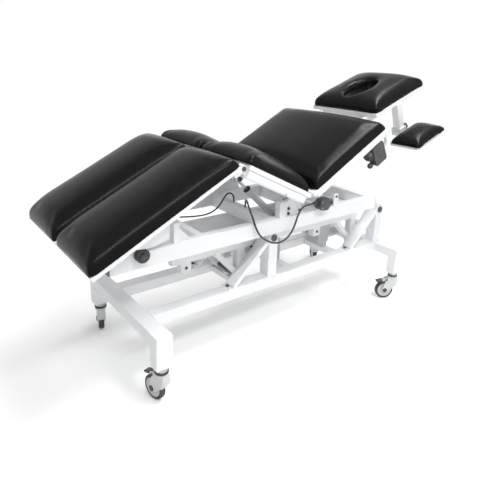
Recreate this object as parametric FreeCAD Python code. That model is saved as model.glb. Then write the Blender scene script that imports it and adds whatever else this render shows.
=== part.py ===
import FreeCAD, Part
import math, os

# Physiotherapy table: wheeled base, parallel lift, upper frame and four jointed cushion sections.
# Millimetres. x runs from the foot end's cross beam to the head, y from the near side to the far side,
# z up from the floor. Shapes are drawn with x = 0 at the foot cross beam's outer face, then moved.
V = FreeCAD.Vector
move_x = -697.18           # puts the middle of the table's length at x = 0

# base frame and castors
base_length = 1487.0
base_width = 630.0
cross_beam = 65.0          # cross beam and leg, measured along x
leg_width = 50.0
beam_low, beam_top = 244.0, 294.0
leg_low = 149.0
long_inner, long_outer = 110.0, 170.0
tube_corner = 5.0
cross_ties = (520.0, 812.0, 1150.0)         # low ties between the long beams
tie_width, tie_low, tie_top = 45.0, 250.0, 279.0
wheel_radius, wheel_width = 50.0, 24.0
castor_trail = 40.0
stem_radius = 10.0
castor_turns = {"near_foot": 102.0, "far_foot": 73.0, "near_head": 147.0, "far_head": 60.0}

# parallel lift: pivots A on the base towers, pivots B on the upper frame's hangers
pivot_a = {"mid": (666.0, 484.0), "head": (base_length - 51.0, 484.0)}
arm_length = 219.0
arm_angle = 234.3          # direction from A to B in the lowest position
arm_width, arm_in, arm_out = 48.0, 99.0, 109.0
arm_tube = 109.0           # distance of the arm's cross tube from pivot A
pivot_radius = 10.0
tower_in, tower_out = 112.0, 168.0
tower_post, tower_reach, apex_radius = 50.0, 229.0, 28.0
plate_thick = 6.0
lever_length, lever_angle = 70.0, 329.0
lift_turn = 119.0
screw_height = 431.0
screw_radius = 10.0

# upper frame
leg_over_frame = 16.2      # the leg sections' hinge line above the frame's foot end
frame_end = base_length - 210.0
side_in, side_out = 213.0, 247.0
frame_low, frame_top = 542.0, 607.0
end_inset = 17.0           # first cross tube, in from the frame's foot end
inner_cross = (232.0, 588.0, 900.0)
cross_width, cross_drop = 35.0, 5.0
hanger_in, hanger_out, hanger_low = 62.0, 97.0, 437.0
hanger_start, hanger_end = 190.0, base_length - 152.0
roller_centre, roller_radius = (-18.0, 600.0), 25.0
roller_in, roller_out = 250.0, 276.0

# cushion sections: each is drawn flat about its hinge, then pitched (degrees, head side up)
hip = (718.0, 687.0)
seat_pitch, leg_pitch, back_pitch, head_pitch = -25.67, 27.15, 28.46, 20.2
ridge_local = (-407.0, 7.6)        # ridge hinge in the seat's own frame
neck_local = (588.0, 0.0)          # head hinge in the back's own frame
board_thick, tray_thick = 18.0, 12.0
seat_top, leg_top, head_top = 30.0, 20.0, 36.0
leg_length, back_length, head_start, head_length = 637.0, 541.0, 27.0, 415.0
section_half, head_half = 338.0, 216.0
split_gap = 6.0
cushion_thick = 72.0
hip_setback = 59.0
back_rise = 14.0           # how far the back still folds up from its drawn pitch
board_reach = 3.0          # boards stop short of the cushions' sides
face_hole = (186.0, 120.0, 72.0)   # centre along the section, half length, half width
seat_strut_low, seat_strut_local = (813.0, 511.0), (-160.0, -20.0)
pin_radius = 8.0
quadrant_y = (42.0, 54.0)
back_quadrant_radii, head_quadrant_radii = (158.0, 182.0), (58.0, 80.0)
case_start, case_end, case_low, case_top = 822.0, 888.0, 612.0, 668.0
case_depth = 41.0
gland_from, gland_at = (769.0, 649.0), (796.0, 650.0)   # last run of the seat cable
eye_slack = 2.2            # rod eye around its pin
cylinder_radius, rod_radius = 16.0, 7.0
rest_u, post_half, post_y, post_low = 210.0, 20.0, (178.0, 218.0), -150.0

# clearances
run_gap = 0.05             # bore around a turning pin
body_gap = 0.4             # between pieces that move past each other
pin_slot_gap = 5.0         # lever pin in the yoke's slot, each side
roller_gap = 0.8           # between rest roller and the leg's runner
knuckle_gap = 3.0          # boards around the hinges' knuckles
screw_back = 2.5           # clamp screw's tip, backed off the armrest post


def box(x0, x1, y0, y1, z0, z1):
    return Part.makeBox(x1 - x0, y1 - y0, z1 - z0, V(x0, y0, z0))


def tube(x0, x1, y0, y1, z0, z1, along, corner=tube_corner):
    """Rectangular tube with rounded long edges."""
    b = box(x0, x1, y0, y1, z0, z1)
    d = {"x": V(1, 0, 0), "y": V(0, 1, 0), "z": V(0, 0, 1)}[along]
    edges = [e for e in b.Edges if abs((e.Vertexes[1].Point - e.Vertexes[0].Point).normalize().dot(d)) > 0.9]
    return b.makeFillet(corner, edges)


def plate(points, y0, y1):
    """Flat plate, drawn in side view."""
    ring = [V(x, y0, z) for x, z in points]
    return Part.Face(Part.makePolygon(ring + ring[:1])).extrude(V(0, y1 - y0, 0))


def disc(p, r, y0, y1):
    return Part.makeCylinder(r, y1 - y0, V(p[0], y0, p[1]), V(0, 1, 0))


def rod_x(r, x0, x1, y, z):
    return Part.makeCylinder(r, x1 - x0, V(x0, y, z), V(1, 0, 0))


def rod_z(r, x, y, z0, z1):
    return Part.makeCylinder(r, z1 - z0, V(x, y, z0), V(0, 0, 1))


def bar(p, q, w, y0, y1):
    """Straight flat bar between two side-view points."""
    l = math.hypot(q[0] - p[0], q[1] - p[1])
    nx, nz = -(q[1] - p[1]) / l * w / 2, (q[0] - p[0]) / l * w / 2
    return plate([(p[0] + nx, p[1] + nz), (q[0] + nx, q[1] + nz), (q[0] - nx, q[1] - nz), (p[0] - nx, p[1] - nz)],
                 y0, y1)


def link(p, q, w, y0, y1):
    return fuse(bar(p, q, w, y0, y1), disc(p, w / 2, y0, y1), disc(q, w / 2, y0, y1))


def fuse(*shapes):
    return shapes[0].multiFuse(list(shapes[1:])).removeSplitter() if len(shapes) > 1 else shapes[0]


def other_side(shape):
    return shape.mirror(V(0, 0, 0), V(0, 1, 0))


def both_sides(shape):
    return [shape, other_side(shape)]


def polar(p, r, degrees):
    return p[0] + r * math.cos(math.radians(degrees)), p[1] + r * math.sin(math.radians(degrees))


def placed(local, hinge, pitch):
    """Side-view point of a section's own frame, in the table's frame."""
    c, s = math.cos(math.radians(pitch)), math.sin(math.radians(pitch))
    return hinge[0] + local[0] * c - local[1] * s, hinge[1] + local[0] * s + local[1] * c


def pitched(shape, hinge, pitch):
    """Turn a section drawn flat about the origin up to its pitch and move it to its hinge."""
    out = shape.copy()
    out.rotate(V(0, 0, 0), V(0, -1, 0), pitch)
    out.translate(V(hinge[0], 0, hinge[1]))
    return out


def ridge():
    return placed(ridge_local, hip, seat_pitch)


def neck():
    return placed(neck_local, hip, back_pitch)


def pivot_b(name):
    return polar(pivot_a[name], arm_length, arm_angle)


def frame_start():
    """Foot end of the upper frame: as far out as the leg sections pass above it."""
    x, z = ridge()
    return x - (z - frame_top - leg_over_frame) / math.tan(math.radians(leg_pitch))


def cross_starts():
    return (frame_start() + end_inset,) + inner_cross + (frame_end - cross_width,)


def hip_clearance():
    """How far the seat and back boards start from the hip, so that they clear each other when folded up."""
    half_fold = math.radians((back_pitch + back_rise - seat_pitch) / 2)
    return seat_top * math.tan(half_fold) + 2.0


def on_side(side, a, b):
    """Range of y on the far (1) or near (-1) side."""
    return (a, b) if side > 0 else (-b, -a)


def leg_centres():
    for side, y in (("near", -1), ("far", 1)):
        yc = y * (base_width - leg_width) / 2
        yield side + "_foot", cross_beam / 2, yc
        yield side + "_head", base_length - cross_beam / 2, yc


def base_frame():
    half = base_width / 2
    parts = []
    for x0 in (0.0, base_length - cross_beam):
        parts.append(tube(x0, x0 + cross_beam, -half, half, beam_low, beam_top, "y"))
    for name, x, y in leg_centres():
        leg = box(x - cross_beam / 2, x + cross_beam / 2, y - leg_width / 2, y + leg_width / 2, leg_low, beam_top)
        low = [e for e in leg.Edges if max(v.Z for v in e.Vertexes) < leg_low + 1]
        leg = leg.makeChamfer(9.0, low)
        parts.append(leg)
    for y0 in (-long_outer, long_inner):
        parts.append(tube(cross_beam - 1, base_length - cross_beam + 1, y0, y0 + long_outer - long_inner,
                          beam_low, beam_top, "x"))
    for x0 in cross_ties:
        parts.append(tube(x0, x0 + tie_width, -long_inner - 1, long_inner + 1, tie_low, tie_top, "y"))
    frame = fuse(*parts)
    for name, x, y in leg_centres():
        frame = frame.cut(rod_z(stem_radius + run_gap, x, y, leg_low - 1, leg_low + 60))
    return frame


def lift_towers():
    solids = []
    for x, z in pivot_a.values():
        post = fuse(box(x - tower_post / 2, x + tower_post / 2, tower_in, tower_out, beam_top, z),
                    disc((x, z), apex_radius, tower_in, tower_out),
                    bar((x - tower_reach + 14, beam_top + 4), (x - 8, z + 8), 20.0, tower_in, tower_out),
                    box(x - tower_reach - 12, x + tower_post / 2 + 14, long_inner + 1, long_outer - 1,
                        beam_top, beam_top + plate_thick))
        post = post.common(box(x - 400, x + 200, 0, 300, beam_top, z + 100))
        post = post.cut(disc((x, z), pivot_radius, tower_in - 1, tower_out + 1))
        solids += both_sides(post)
    return Part.makeCompound(solids)


def tower_pins():
    solids = []
    for p in pivot_a.values():
        pin = fuse(disc(p, pivot_radius, arm_in - 1.4, tower_out + 1),
                   disc(p, pivot_radius + 6, tower_out, tower_out + 6),
                   disc(p, pivot_radius + 5, arm_out + body_gap, tower_in),
                   disc(p, pivot_radius + 3, arm_in - 1.4, arm_in - body_gap))
        solids += both_sides(pin)
    return Part.makeCompound(solids + tower_bolts())


def lift_arm(name):
    a, b = pivot_a[name], pivot_b(name)
    middle = polar(a, arm_tube, arm_angle)
    open_bore = pivot_radius + (run_gap if name == "mid" else 0.5)
    side = link(a, b, arm_width, arm_in, arm_out).cut(disc(a, pivot_radius + run_gap, 0, 200))
    side = side.cut(disc(b, open_bore, 0, 200))
    parts = both_sides(side) + [disc(middle, 16.0, -arm_in - 1, arm_in + 1)]
    if name == "mid":
        tip = polar(a, lever_length, lever_angle)
        parts += both_sides(link(middle, tip, 34.0, 13.0, 21.0)) + [disc(tip, 6.0, -25.0, 25.0)]
    return fuse(*parts)


def frame_pins():
    mid, head = pivot_b("mid"), pivot_b("head")
    end = arm_out + 1.5
    solids = [fuse(disc(mid, pivot_radius, -end, end), disc(mid, 14.0, -hanger_in, hanger_in))]
    solids += both_sides(fuse(disc(head, pivot_radius, hanger_in - 1, end), disc(head, 15.0, hanger_in - 5, hanger_in)))
    caps = []
    for p in (mid, head):
        caps += both_sides(fuse(disc(p, pivot_radius + 4, hanger_out, arm_in - body_gap),
                                disc(p, pivot_radius + 3, arm_out + body_gap, end)))
    return Part.makeCompound([fuse(solids[0], caps[0], caps[1]), fuse(solids[1], caps[2]), fuse(solids[2], caps[3])])


def lift_motor():
    bore = screw_radius + run_gap
    start, gears, motor_height = cross_ties[1] - 12, cross_ties[2] - 50, screw_height - 79
    guide = rod_x(22.0, start, gears + 5, 0, screw_height)
    gearbox = tube(gears, gears + 80, -42.0, 42.0, motor_height - 47, screw_height + 31, "x", 14.0)
    can = rod_x(37.0, gears + 75, gears + 188, 0, motor_height)
    cap = rod_x(31.0, gears + 185, gears + 197, 0, motor_height)
    saddle = box(gears + 52, gears + 78, -34.0, 34.0, tie_top, motor_height - 42)
    foot = start + 34
    front = plate([(foot - 16, tie_top), (foot + 16, tie_top), (foot + 12, screw_height), (foot - 12, screw_height)],
                  -18.0, 18.0)
    nose = rod_x(26.0, start, start + 24, 0, screw_height)
    body = fuse(guide, gearbox, can, cap, saddle, front, nose)
    return body.cut(rod_x(bore, start - 1, start + 240, 0, screw_height))


def lift_rod():
    tip = polar(pivot_a["mid"], lever_length, lever_angle)
    lowest = pivot_a["mid"][1] - lever_length
    w = 6.0 + pin_slot_gap
    yoke = tube(tip[0] - w - 13, tip[0] + w + 13, -8.0, 8.0, lowest - 24, tip[1] + 26, "y", 8.0)
    slot = fuse(box(tip[0] - w, tip[0] + w, -9.0, 9.0, lowest - 8 + w, tip[1] + 9 - w),
                disc((tip[0], lowest - 8 + w), w, -9.0, 9.0), disc((tip[0], tip[1] + 9 - w), w, -9.0, 9.0))
    return fuse(yoke.cut(slot), rod_x(screw_radius, tip[0] + w + 5, 1010.0, 0, screw_height))


def upper_frame():
    parts = [tube(frame_start(), frame_end, y0, y0 + side_out - side_in, frame_low, frame_top, "x")
             for y0 in (-side_out, side_in)]
    for x0 in cross_starts():
        parts.append(tube(x0, x0 + cross_width, -side_in - 1, side_in + 1, frame_low, frame_top - cross_drop, "y"))
    x, z = seat_strut_low
    lug = plate([(x - 8, z - 14), (x + 6, z - 16), (906, frame_low + 8), (906, frame_low + 48), (x - 12, z + 10)],
                26.0, 34.0)
    lug = fuse(lug, disc((x, z), 17.0, 26.0, 34.0)).cut(disc((x, z), pin_radius, 20.0, 40.0))
    return fuse(*(parts + both_sides(lug)))


def hanger_brackets():
    parts = [tube(hanger_start, hanger_end, hanger_in, hanger_out, hanger_low, frame_low, "x")]
    for name in pivot_a:
        x, z = pivot_b(name)
        parts += [box(x - 20, x + 20, hanger_in, hanger_out, z, hanger_low + 6),
                  disc((x, z), 21.0, hanger_in, hanger_out),
                  bar((x - 131, hanger_low + 4), (x - 8, z + 4), 22.0, hanger_in, hanger_out),
                  tube(x - 308, x - 258, hanger_in, hanger_out, hanger_low - 42, hanger_low + 8, "z", 4.0)]
    x = pivot_b("mid")[0]
    parts.append(box(x + 50, x + 82, hanger_in + 12, hanger_out - 12, hanger_low - 20, hanger_low + 6))
    hanger = fuse(*parts)
    for name in pivot_a:
        hanger = hanger.cut(disc(pivot_b(name), pivot_radius, 0, 200))
    return Part.makeCompound(both_sides(hanger))


def frame_uprights():
    y0, y1 = side_in + 2, side_out - 2
    rest = fuse(box(115.0, 138.0, y0, y1, frame_top, 682.0),
                plate([(137, frame_top), (190, frame_top), (137, 665)], side_in + 14, side_out - 14))
    x, z = hip
    post = fuse(box(622.0, 662.0, y0, y1, frame_top, 674.0), disc(hip, 20.0, y0, y1),
                plate([(661, frame_top), (x + 46, frame_top), (x + 18, z + 6), (x, z + 14), (661, 672)],
                      side_in + 9, side_out - 9))
    post = post.cut(disc(hip, pin_radius, 0, 400))
    return Part.makeCompound(both_sides(rest) + both_sides(post))


def frame_axles():
    """Hip pins, roller studs and the seat strut's lower pin: all fixed to the upper frame."""
    hip_pin = fuse(disc(hip, pin_radius, 186.0, 276.0), disc(hip, pin_radius + 5, 273.0, 278.0),
                   disc(hip, pin_radius + 5, 183.0, 187.5))
    stud = fuse(disc(roller_centre, pin_radius, side_out, roller_out + 2),
                disc(roller_centre, pin_radius + 6, roller_out + 1, roller_out + 5),
                disc(roller_centre, pin_radius + 6, side_out, roller_in - body_gap))
    strut = fuse(disc(seat_strut_low, pin_radius, -38.0, 38.0), disc(seat_strut_low, pin_radius + 3, 34.0, 38.0),
                 disc(seat_strut_low, pin_radius + 3, -38.0, -34.0))
    return Part.makeCompound(both_sides(hip_pin) + both_sides(stud) + [strut] + side_bolts())


def round_rims(body, r):
    return [e for e in body.Edges if e.Closed and abs(e.BoundBox.XLength - 2 * r) < 0.1]


def rest_roller():
    body = disc(roller_centre, roller_radius, roller_in, roller_out)
    body = body.makeFillet(3.0, round_rims(body, roller_radius))
    return body.cut(disc(roller_centre, pin_radius + run_gap, roller_in - 1, roller_out + 1))


def seat_frame():
    x_end = ridge_local[0]
    half = section_half - board_reach
    low = seat_top - board_thick
    parts = [box(x_end + 20, -hip_clearance(), -half, half, low, seat_top)]
    for side in (1, -1):
        arm, rail, lug = on_side(side, 188.0, 210.0), on_side(side, 300.0, 334.0), on_side(side, 26.0, 34.0)
        parts += [box(x_end + 26, 0.0, *arm, -16.0, low + 1), disc((0, 0), 16.0, *arm),
                  tube(x_end + 24, -45.0, *rail, -22.0, low + 1, "x", 9.0)]
        for ear in (on_side(side, 306.0, 316.0), on_side(side, 40.0, 50.0)):
            parts += [disc(ridge_local, 15.0, *ear),
                      plate([(x_end - 6, -6), (x_end + 40, -16), (x_end + 40, low + 2), (x_end, low + 2)], *ear)]
        x = seat_strut_local[0]
        parts.append(plate([(x - 26, low + 1), (x - 14, -34), (x + 14, -34), (x + 26, low + 1)], *lug))
    parts.append(tube(x_end + 77, x_end + 107, -302.0, 302.0, -14.0, low + 1, "y"))
    seat = fuse(*parts)
    seat = seat.cut(disc((0, 0), pin_radius + run_gap, -400, 400)).cut(disc(ridge_local, pin_radius - 2, -400, 400))
    return seat.cut(disc(seat_strut_local, pin_radius, -400, 400))


def seat_pins():
    solids = []
    for a, b in ((302.0, 332.0), (36.0, 66.0)):
        solids += both_sides(fuse(disc(ridge_local, pin_radius - 2, a, b), disc(ridge_local, pin_radius + 1, a, a + 4),
                                  disc(ridge_local, pin_radius + 1, b - 3, b)))
    p = seat_strut_local
    solids.append(fuse(disc(p, pin_radius, -38.0, 38.0), disc(p, pin_radius + 3, 34.0, 38.0),
                       disc(p, pin_radius + 3, -38.0, -34.0)))
    return Part.makeCompound(solids)


def cushion(x0, x1, y0, y1, z0, soft=24.0):
    """Upholstered block: board face flat, the upper edges and corners rounded."""
    b = box(x0, x1, y0, y1, z0, z0 + cushion_thick)
    upright = [e for e in b.Edges if abs(e.Vertexes[0].Z - e.Vertexes[1].Z) > 1]
    b = b.makeFillet(soft, upright)
    top = [e for e in b.Edges if min(v.Z for v in e.Vertexes) > z0 + cushion_thick - 0.1]
    return b.makeFillet(soft - 1, top)


def strut_line():
    top = placed(seat_strut_local, hip, seat_pitch)
    low = seat_strut_low
    return low, top, math.degrees(math.atan2(top[1] - low[1], top[0] - low[0])), math.dist(low, top)


def seat_actuator():
    """Cylinder on the upper frame and rod on the seat, both drawn along x from the lower pin."""
    low, top, angle, length = strut_line()
    tube_end = length - 96.0
    body = fuse(rod_x(cylinder_radius, 22.0, tube_end, 0, 0), disc((0, 0), 16.0, -14.0, 14.0),
                rod_x(13.0, 5.0, 24.0, 0, 0), rod_x(cylinder_radius + 3, tube_end - 26, tube_end, 0, 0))
    body = body.cut(disc((0, 0), pin_radius + run_gap, -30, 30))
    body = body.cut(rod_x(rod_radius + run_gap, 80.0, length, 0, 0))
    rod = fuse(rod_x(rod_radius, 125.0, length - 12, 0, 0), disc((length, 0), 17.0, -14.0, 14.0))
    rod = rod.cut(disc((length, 0), pin_radius + eye_slack, -30, 30))
    return pitched(body, low, angle), pitched(rod, low, angle)


def runner_points():
    """Underside of the leg's runner: the roller's path seen from the leg while the seat goes flat."""
    centres = []
    for step in range(-3, 14):
        share = step / 12.0
        seat, leg = seat_pitch * (1 - share), leg_pitch * (1 - share)
        rx, rz = placed(ridge_local, hip, seat)
        centres.append(placed((roller_centre[0] - rx, roller_centre[1] - rz), (0.0, 0.0), -leg))
    points = []
    for a, b, c in zip(centres, centres[1:], centres[2:]):
        dx, dz = c[0] - a[0], c[1] - a[1]
        off = (roller_radius + roller_gap) / math.hypot(dx, dz)
        points.append((b[0] - dz * off, b[1] + dx * off))
    return points


def leg_frame():
    """Near leg section about the ridge hinge."""
    y0, y1 = -section_half, -split_gap / 2
    low = leg_top - tray_thick
    track = runner_points()
    parts = [box(-leg_length, -14.0 - knuckle_gap, y0, y1, low, leg_top)]
    for a, b in ((-80.0, -60.0), (-272.0, -254.0)):
        parts.append(tube(-leg_length + 30, -34.0, a, b, -14.0, low + 1, "x", 3.0))
    parts.append(plate([(track[0][0], low + 1)] + track + [(track[-1][0] + 30, -12), (track[-1][0] + 30, low + 1)],
                       -272.0, -254.0))
    for a, b in ((-328.0, -318.0), (-62.0, -52.0)):
        parts += [disc((0, 0), 14.0, a, b), plate([(-46, low + 2), (-46, -12), (-4, -12), (-2, low + 2)], a, b)]
    return fuse(*parts).cut(disc((0, 0), pin_radius - 2 + run_gap, -400, 0))


def back_frame():
    low = seat_top - board_thick
    nx = neck_local[0]
    half = section_half - board_reach
    parts = [box(hip_clearance(), back_length, -half, half, low, seat_top)]
    for side in (1, -1):
        arm, horn, rail = on_side(side, 250.0, 272.0), on_side(side, 120.0, 140.0), on_side(side, 306.0, 334.0)
        parts += [box(0.0, back_length - 30, *arm, -16.0, low + 1), disc((0, 0), 16.0, *arm),
                  box(330.0, nx, *horn, -16.0, low + 1), disc(neck_local, 16.0, *horn),
                  tube(40.0, back_length - 10, *rail, -8.0, low + 1, "x", 6.0)]
    for x0 in (150.0, 400.0):
        parts.append(tube(x0, x0 + 30, -252.0, 252.0, -18.0, low + 1, "y"))
    return fuse(*parts).cut(disc((0, 0), pin_radius + run_gap, -400, 400)).cut(disc(neck_local, pin_radius, -400, 400))


def sector(centre, radii, start, end, y0, y1):
    """Arc-shaped plate about a hinge, from start to end degrees."""
    ring = disc(centre, radii[1], y0, y1).cut(disc(centre, radii[0], y0 - 1, y1 + 1))
    reach = 2 * radii[1]
    wedge = plate([centre] + [polar(centre, reach, start + (end - start) * k / 6.0) for k in range(7)], y0, y1)
    return ring.common(wedge)


def back_quadrant():
    r = sum(back_quadrant_radii) / 2
    y0, y1 = -quadrant_y[1], -quadrant_y[0]
    foot = box(r - 14, r + 10, y0, y1, -32.0, -18.0)
    return fuse(sector((0, 0), back_quadrant_radii, -10.0, -96.0, y0, y1), foot)


def back_brake():
    """Clamp block on the upper frame that the back's quadrant runs through."""
    r0, r1 = back_quadrant_radii
    y0, y1 = -quadrant_y[1], -quadrant_y[0]
    block = tube(852.0, 900.0, y0 - 14, y1 + 6, 572.0, 632.0, "y", 4.0)
    path = disc(hip, r1 + body_gap, y0 - body_gap, y1 + body_gap)
    path = path.cut(disc(hip, r0 - body_gap, y0 - 2, y1 + 2))
    return fuse(block.cut(path), disc((884, 616), 9.0, y0 - 34, y0 - 13))


def head_frame():
    low = head_top - board_thick
    parts = [box(head_start + 3, head_start + head_length - 3, -head_half + 4, head_half - 4, low, head_top)]
    for side in (1, -1):
        horn = on_side(side, 142.0, 160.0)
        parts += [box(0.0, head_start + head_length - 20, *horn, -12.0, low + 1), disc((0, 0), 15.0, *horn),
                  tube(rest_u - post_half, rest_u + post_half, *on_side(side, *post_y), post_low, low + 1, "z", 4.0)]
    parts.append(tube(36.0, 62.0, -150.0, 150.0, -8.0, low + 1, "y", 4.0))
    head = fuse(*parts).cut(disc((0, 0), pin_radius + run_gap, -400, 400))
    return head.cut(face_opening(low - 2, 40.0, 8.0))


def face_opening(z0, height, grow=0.0):
    u, half_l, half_w = face_hole
    ring = Part.Ellipse(V(u, 0, z0), half_l + grow, half_w + grow)
    return Part.Face(Part.Wire(ring.toShape())).extrude(V(0, 0, height))


def head_quadrant():
    r = sum(head_quadrant_radii) / 2
    y0, y1 = -quadrant_y[1], -quadrant_y[0]
    lift = plate([(r - 25, -8), (r - 8, -8), (r + 9, -18), (r + 1, -26)], y0, y1)
    return fuse(sector((0, 0), head_quadrant_radii, -14.0, -125.0, y0, y1), lift)


def head_brake():
    """Clamp block on the back frame that the head's quadrant runs through, on two cheeks."""
    r0, r1 = head_quadrant_radii
    y0, y1 = -quadrant_y[1], -quadrant_y[0]
    n = neck_local
    c = polar(n, (r0 + r1) / 2, -75.0)
    block = tube(c[0] - 22, c[0] + 22, y0 - 14, y1 + 14, c[1] - 24, c[1] + 16, "y", 4.0)
    end = back_length
    side_view = [(end - 71, -2), (end, -2), (end, 11), (c[0] - 4, c[1] + 10), (c[0] - 18, c[1] - 14), (end - 71, -12)]
    cheeks = [plate(side_view, a, b) for a, b in ((y0 - 14, y0 - 8), (y1 + 8, y1 + 14))]
    path = disc(n, r1 + body_gap, y0 - body_gap, y1 + body_gap).cut(disc(n, r0 - body_gap, y0 - 2, y1 + 2))
    tie = box(end - 71, end - 41, y0 - 14, y1 + 14, -2.0, 12.0)
    return fuse(block.cut(path), tie, *cheeks)


def back_axles():
    solids = [fuse(disc(neck_local, pin_radius, 118.0, 163.0), disc(neck_local, pin_radius + 4, 160.4, 164.0),
                   disc(neck_local, pin_radius + 4, 116.0, 120.0))]
    return Part.makeCompound(both_sides(solids[0]))


def armrest_carrier():
    """Near collar that slides on the head section's post, with the pad's plate."""
    a, b = -post_y[1], -post_y[0]
    c = post_half + body_gap
    collar = tube(rest_u - c - 6, rest_u + c + 6, a - 8, b + 8, post_low + 2, post_low + 40, "z", 5.0)
    collar = collar.cut(box(rest_u - c, rest_u + c, a - body_gap, b + body_gap, post_low, post_low + 50))
    shelf = tube(82.0, 302.0, -392.0, a - 7, post_low + 1, post_low + 13, "z", 18.0)
    web = box(rest_u - 20, rest_u + 20, -250.0, a - 7, post_low + 1, post_low + 13)
    boss = rod_x(9.0, rest_u + c + 5, rest_u + c + 14, (a + b) / 2, post_low + 24)
    return fuse(collar, shelf, web, boss).cut(rod_x(4.0, rest_u + c - 1, rest_u + c + 20, (a + b) / 2, post_low + 24))


def armrest_pad():
    b = box(71.0, 313.0, -405.0, -234.0, post_low + 13, post_low + 53)
    upright = [e for e in b.Edges if abs(e.Vertexes[0].Z - e.Vertexes[1].Z) > 1]
    b = b.makeFillet(22.0, upright)
    top = [e for e in b.Edges if min(v.Z for v in e.Vertexes) > post_low + 52]
    return b.makeFillet(16.0, top)


def armrest_knob():
    """Clamp screw with a lobed grip, on the near collar's head side."""
    x, y, z = rest_u + post_half + screw_back, -sum(post_y) / 2, post_low + 24
    grip = rod_x(15.0, x + 15, x + 31, y, z)
    for k in range(6):
        cy, cz = polar((y, z), 15.0, 60.0 * k)
        grip = grip.fuse(rod_x(4.5, x + 15, x + 31, cy, cz))
    return fuse(grip.removeSplitter(), rod_x(4.0 - run_gap, x, x + 16, y, z))


def control_knob(axis_y, axis_z, x0, radius, length):
    """Round knob along x with a fluted rim, on a spindle that points toward +x or -x."""
    sign = 1 if length > 0 else -1
    a, b = sorted((x0 + sign * 3, x0 + length))
    knob = rod_x(radius, a, b, axis_y, axis_z)
    for k in range(8):
        cy, cz = polar((axis_y, axis_z), radius + 2.0, 45.0 * k)
        knob = knob.cut(rod_x(3.5, a - 1, b + 1, cy, cz))
    s0, s1 = sorted((x0 - sign * 14, x0 + sign * 4))
    return fuse(knob, rod_x(5.0, s0, s1, axis_y, axis_z))


def foot_control():
    y0, y1 = -side_out - case_depth, -side_out
    y, z = y0 + case_depth / 2, (case_low + case_top) / 2
    case = tube(case_start, case_end, y0, y1, case_low, case_top, "y", 14.0)
    back_plate = box(case_start + 8, case_end - 8, y1 - 4, y1, frame_top - 29, case_low + 20)
    a, b = V(gland_at[0], y, gland_at[1]), V(gland_from[0], y, gland_from[1])
    gland = Part.makeCylinder(8.0, case_start - gland_at[0] + 4, a, a - b)
    case = fuse(case, back_plate, gland, rod_x(14.0, case_end - 4, case_end + 4, y, z))
    case = case.cut(rod_x(5.0 + run_gap, case_end - 14, case_end + 8, y, z))
    return case, control_knob(y, z, case_end + 4, 17.0, 20.0)


def head_control():
    y0, y1 = -section_half + 1, -section_half + 39
    case = tube(412.0, 490.0, y0, y1, -106.0, -8.0, "y", 10.0)
    case = fuse(case, rod_x(13.0, 404.0, 414.0, y0 + 19, -36.0))
    case = case.cut(rod_x(5.0 + run_gap, 402.0, 425.0, y0 + 19, -36.0))
    return case, control_knob(y0 + 19, -36.0, 404.0, 22.0, -24.0)


def release_lever():
    """Bent rod with a ball grip, turning in the head control's case."""
    y = -section_half + 20
    rod = rod_x(4.0, 398.0, 412.0 - body_gap, y, -89.0)
    ball = rod_x(13.0, 378.0, 402.0, y, -89.0)
    ball = ball.makeFillet(11.0, [e for e in ball.Edges if e.Closed and e.BoundBox.ZLength > 20])
    return fuse(ball, rod)


def castor(turn, x, y):
    """Fork, wheel and pedal of one castor, drawn with the wheel behind the stem along +x."""
    t, r = castor_trail, wheel_radius
    half = wheel_width / 2
    stem = rod_z(stem_radius, 0, 0, 130.0, leg_low + 50)
    house = fuse(rod_z(25.0, 0, 0, 112.0, 133.0), rod_z(27.0, 0, 0, 130.0, leg_low - 6),
                 rod_z(22.0, 0, 0, leg_low - 7, leg_low - body_gap))
    outline = [(-24, 128), (-27, 100), (-14, 72), (t - 20, 44), (t - 8, 37), (t + 8, 37), (t + 20, 46),
               (t + 25, 62), (t + 12, 96), (30, 118), (24, 128)]
    cheeks = [plate(outline, half + 2.0, half + 6.0), plate(outline, -half - 6.0, -half - 2.0)]
    bridge = box(-26, 24, -half - 6, half + 6, 112, 128).cut(disc((t, r), r + 4.0, -60, 60))
    fork = fuse(stem, house, bridge, *cheeks)
    fork = fuse(fork, disc((t, r), 5.0, -half - 6, half + 6))
    caps = [disc((t, r), 12.0, half + 6, half + 9), disc((t, r), 12.0, -half - 9, -half - 6)]
    fork = fuse(fork, *caps)
    wheel = disc((t, r), r, -half, half)
    wheel = wheel.makeFillet(6.0, round_rims(wheel, r)).cut(disc((t, r), 5.0 + run_gap, -half - 1, half + 1))
    core_r = 0.76 * r
    core = disc((t, r), core_r, -half + 1.5, half - 1.5).cut(disc((t, r), 5.0 + run_gap, -half, half))
    tyre = wheel.cut(disc((t, r), core_r, -half - 1, half + 1))
    pedal = fuse(plate([(32, 108), (46, 104), (88, 96), (90, 103), (50, 118), (34, 121)], -half - 1, half + 1),
                 disc((36, 112), 8.0, -half - 1, half + 1))
    pedal = pedal.cut(disc((36, 112), 3.0 + run_gap, -60, 60))
    ears = [disc((36, 112), 8.0, half + 2.0, half + 6.0), disc((36, 112), 8.0, -half - 6.0, -half - 2.0)]
    fork = fuse(fork, disc((36, 112), 3.0, -half - 6, half + 6), *ears)
    fork = fork.cut(sweep_gap(half))
    out = []
    for shape in (fork, Part.makeCompound([tyre, core]), pedal):
        s = shape.copy()
        s.rotate(V(0, 0, 0), V(0, 0, 1), turn)
        s.translate(V(x, y, 0))
        out.append(s)
    return out


def sweep_gap(half):
    """Room in the fork's bridge for the pedal's hub and nose."""
    ring = disc((36, 112), 22.0, -half - 1.6, half + 1.6)
    return ring.cut(disc((36, 112), 3.0 + 1e-3, -half - 2, half + 2))


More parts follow.
